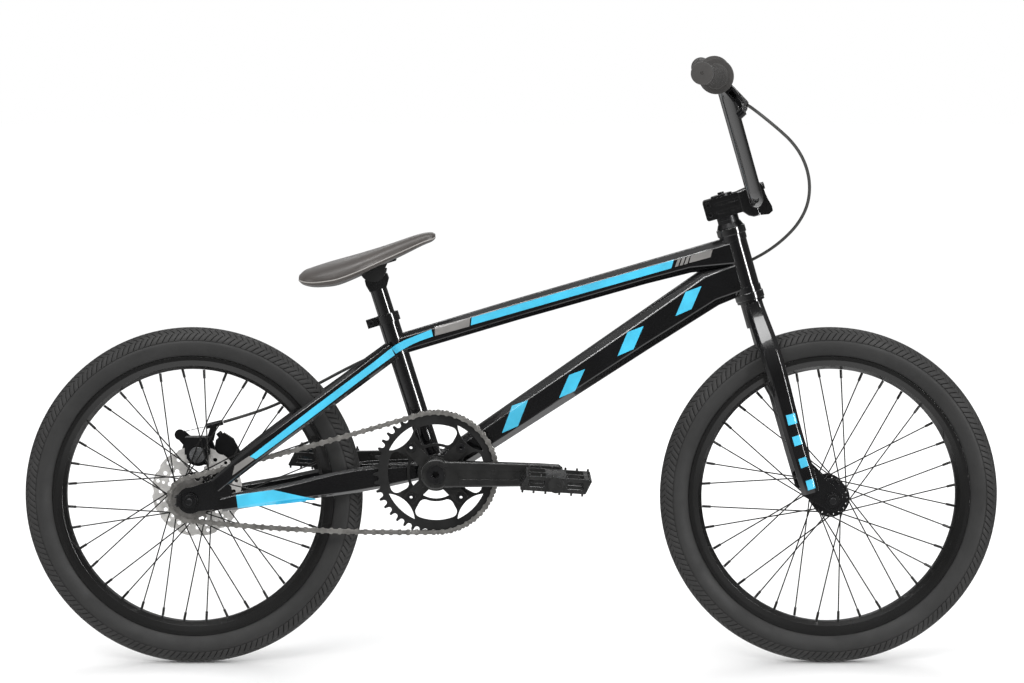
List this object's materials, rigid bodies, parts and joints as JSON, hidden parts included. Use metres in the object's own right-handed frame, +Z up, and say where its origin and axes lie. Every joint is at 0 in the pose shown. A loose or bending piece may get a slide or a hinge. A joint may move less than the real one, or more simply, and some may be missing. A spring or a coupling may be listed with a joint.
{
  "type": "bmx bike",
  "caption": "Small-wheeled race bicycle with rigid frame and fork, high-rise handlebar, single-speed chain drive, rear disc brake, platform pedals and a small tilted saddle.",
  "frame": {"origin": "on the ground, midway between the tyre contact points, in the centre plane", "axes": "+X forward, +Y to the rider's left (disc brake side), +Z up"},
  "size_m": [1.4478, 0.7121, 0.9054],
  "materials": {
    "frame_paint": "gloss black clear-coated paint with cyan and grey graphics",
    "fork_paint": "gloss black paint",
    "bar_paint": "gloss black paint",
    "black_anodised": "black anodised, satin",
    "bearing_steel": "ground steel",
    "black_steel": "black oxide",
    "chain_steel": "grey oiled steel",
    "silver_alloy": "bare turned alloy",
    "cable_housing": "satin black sheath",
    "bare_steel": "bare steel wire",
    "grip_rubber": "matt dark grey rubber",
    "lever_alloy": "black anodised",
    "tyre_rubber": "matt black rubber",
    "tube_rubber": "black butyl rubber",
    "rim_alloy": "black anodised",
    "spoke_steel": "black stainless steel",
    "rotor_steel": "bare stainless steel, ground",
    "cog_steel": "grey hardened steel",
    "crank_alloy": "satin black anodised forging",
    "ring_alloy": "matt black anodised",
    "pedal_alloy": "gloss black anodised",
    "saddle_cover": "smooth matt dark brown-grey cover",
    "saddle_plastic": "black moulded nylon"
  },
  "bodies": {
    "frame": {"head_tube": "frame_paint", "top_tube": "frame_paint", "down_tube": "frame_paint", "seat_tube": "frame_paint", "bb_shell": "frame_paint", "chainstay_right": "frame_paint", "chainstay_left": "frame_paint", "seatstay_right": "frame_paint", "seatstay_left": "frame_paint", "dropouts": "frame_paint", "headset_cups": "black_anodised", "bearings": "bearing_steel", "seat_clamp": "black_anodised", "frame_hardware": "black_steel", "rear_axle": "black_steel", "chain_outer_links": "chain_steel", "chain_inner_links": "chain_steel", "brake_caliper": "black_anodised", "brake_pad_fixed": "silver_alloy", "rear_brake_housing": "cable_housing", "brake_inner_wire": "bare_steel", "front_brake_housing": "cable_housing"},
    "fork": {"fork_steerer": "fork_paint", "fork_leg_right": "fork_paint", "fork_leg_left": "fork_paint", "headset_spacers": "black_anodised", "stem_body": "black_anodised", "stem_faceplate": "black_anodised", "stem_bolts": "black_steel", "handlebar": "bar_paint", "grip_right": "grip_rubber", "grip_left": "grip_rubber", "brake_perch": "black_anodised", "front_axle": "black_steel"},
    "lever": {"brake_lever": "lever_alloy"},
    "caliper_arm": {"brake_arm": "black_anodised"},
    "moving_pad": {"brake_pad_moving": "silver_alloy"},
    "front_wheel": {"front_tyre": "tyre_rubber", "front_inner_tube": "tube_rubber", "front_rim": "rim_alloy", "front_hub": "black_anodised", "front_spokes": "spoke_steel"},
    "rear_wheel": {"rear_tyre": "tyre_rubber", "rear_inner_tube": "tube_rubber", "rear_rim": "rim_alloy", "rear_hub": "black_anodised", "rear_spokes": "spoke_steel", "brake_rotor": "rotor_steel"},
    "driver": {"rear_cog": "cog_steel"},
    "crankset": {"crank_spindle": "black_steel", "crank_arm_right": "crank_alloy", "crank_arm_left": "crank_alloy", "chainring": "ring_alloy", "chainring_bolts": "black_steel", "pedal_axles": "bearing_steel"},
    "pedal_r": {"pedal_right": "pedal_alloy"},
    "pedal_l": {"pedal_left": "pedal_alloy"},
    "post": {"seatpost": "black_anodised"},
    "seat": {"saddle": "saddle_cover", "saddle_base": "saddle_plastic"}
  },
  "joints": [
    {"name": "steering", "type": "hinge", "parent": "frame", "child": "fork", "pos_m": [0.33945, 0, 0.5973], "axis": [-0.2756, 0, 0.9613], "range_deg": [-75, 75], "deforming": ["front_brake_housing"]},
    {"name": "lever_squeeze", "type": "hinge", "parent": "fork", "child": "lever", "pos_m": [0.31611, -0.22275, 0.84316], "axis": [-0.7222, 0.1383, -0.6777], "range_deg": [0, 22], "stiffness_Nm_per_rad": 0.6, "springref_deg": -14.32},
    {"name": "caliper_arm_turn", "type": "hinge", "parent": "frame", "child": "caliper_arm", "pos_m": [-0.47095, 0.066, 0.3078], "axis": [0, 1, 0], "range_deg": [0, 16], "deforming": ["brake_inner_wire"]},
    {"name": "pad_press", "type": "slide", "parent": "frame", "child": "moving_pad", "axis": [0, -1, 0], "range_m": [0, 0.0009]},
    {"name": "front_wheel_spin", "type": "hinge", "parent": "fork", "child": "front_wheel", "pos_m": [0.47265, 0, 0.2513], "axis": [0, 1, 0], "continuous": true},
    {"name": "rear_wheel_spin", "type": "hinge", "parent": "frame", "child": "rear_wheel", "pos_m": [-0.47265, 0, 0.2513], "axis": [0, 1, 0], "continuous": true},
    {"name": "crank_spin", "type": "hinge", "parent": "frame", "child": "crankset", "pos_m": [-0.11113, 0, 0.2913], "axis": [0, 1, 0], "continuous": true, "deforming": ["chain_outer_links", "chain_inner_links"]},
    {"name": "cog_spin", "type": "hinge", "parent": "frame", "child": "driver", "pos_m": [-0.47265, 0, 0.2513], "axis": [0, 1, 0], "continuous": true},
    {"name": "pedal_right_spin", "type": "hinge", "parent": "crankset", "child": "pedal_r", "pos_m": [0.06386, -0.13, 0.28947], "axis": [0, 1, 0], "continuous": true},
    {"name": "pedal_left_spin", "type": "hinge", "parent": "crankset", "child": "pedal_l", "pos_m": [-0.28612, 0.13, 0.29313], "axis": [0, 1, 0], "continuous": true},
    {"name": "seatpost_height", "type": "slide", "parent": "frame", "child": "post", "axis": [-0.3007, 0, 0.9537], "range_m": [-0.02, 0.06]},
    {"name": "saddle_tilt", "type": "hinge", "parent": "post", "child": "seat", "pos_m": [-0.2046, 0, 0.59], "axis": [0, 1, 0], "range_deg": [-10, 10]}
  ],
  "couplings": [
    {"joint": "cog_spin", "follows": "crank_spin", "ratio": 2.75},
    {"joint": "caliper_arm_turn", "follows": "lever_squeeze", "ratio": 0.7},
    {"joint": "pad_press", "follows": "lever_squeeze", "m_per_rad": 0.002}
  ]
}
